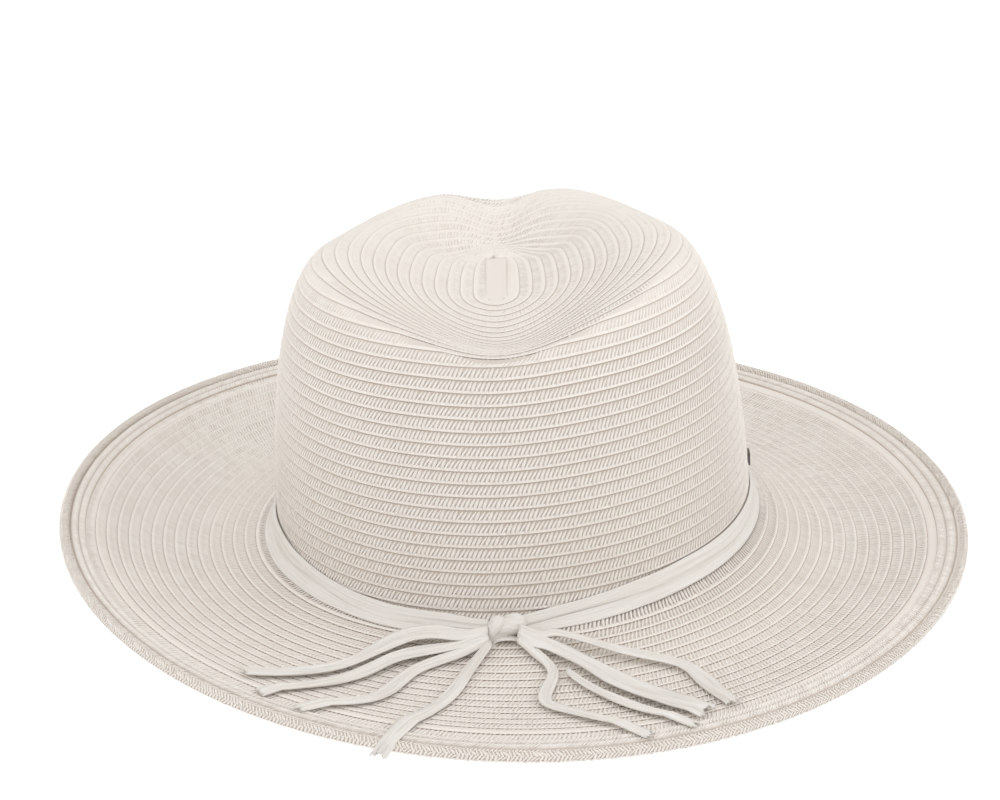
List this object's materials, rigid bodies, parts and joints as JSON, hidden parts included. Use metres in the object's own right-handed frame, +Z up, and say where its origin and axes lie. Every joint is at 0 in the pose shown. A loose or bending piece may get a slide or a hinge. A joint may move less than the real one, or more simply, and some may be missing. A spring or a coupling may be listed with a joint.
{
  "type": "panama hat",
  "caption": "Pinch-front sun hat of sewn paper braid with a wide, wired, upturned brim and a soft ribbon band knotted at one end of the crown with loose ribbon ends.",
  "frame": {"origin": "middle of the head opening, where crown and brim meet", "axes": "+Z up through the crown, -Y towards the knot at the wearer's back, +X the wearer's right"},
  "size_m": [0.3144, 0.3415, 0.1167],
  "materials": {
    "paper_braid": "matte twisted paper braid, off-white",
    "paper_ribbon": "soft matte crepe paper ribbon, white",
    "ribbon_ends": "soft matte crepe paper ribbon, white, cut ends",
    "cotton_lining": "matte cotton twill",
    "spring_wire": "drawn spring steel wire",
    "crimp_sleeve": "satin crimped tube",
    "dark_metal": "satin, dark"
  },
  "bodies": {
    "root": {"crown_braid": "paper_braid", "crown_start_strip": "paper_braid", "brim_braid": "paper_braid", "brim_edge_roll": "paper_braid", "brim_wire": "spring_wire", "wire_joiner": "crimp_sleeve", "sweatband": "cotton_lining", "sweatband_tab": "cotton_lining", "band_ribbon_lower": "paper_ribbon", "band_ribbon_upper": "paper_ribbon", "knot_wrap": "paper_ribbon", "knot_lobe": "paper_ribbon", "knot_loop": "paper_ribbon", "side_badge": "dark_metal", "tail_left_upper": "ribbon_ends", "tail_left_inner": "ribbon_ends", "tail_left_lower": "ribbon_ends", "tail_over_edge": "ribbon_ends", "tail_right_upper": "ribbon_ends", "tail_right_broad": "ribbon_ends", "tail_right_under": "ribbon_ends", "tail_folded": "ribbon_ends"}
  },
  "joints": []
}
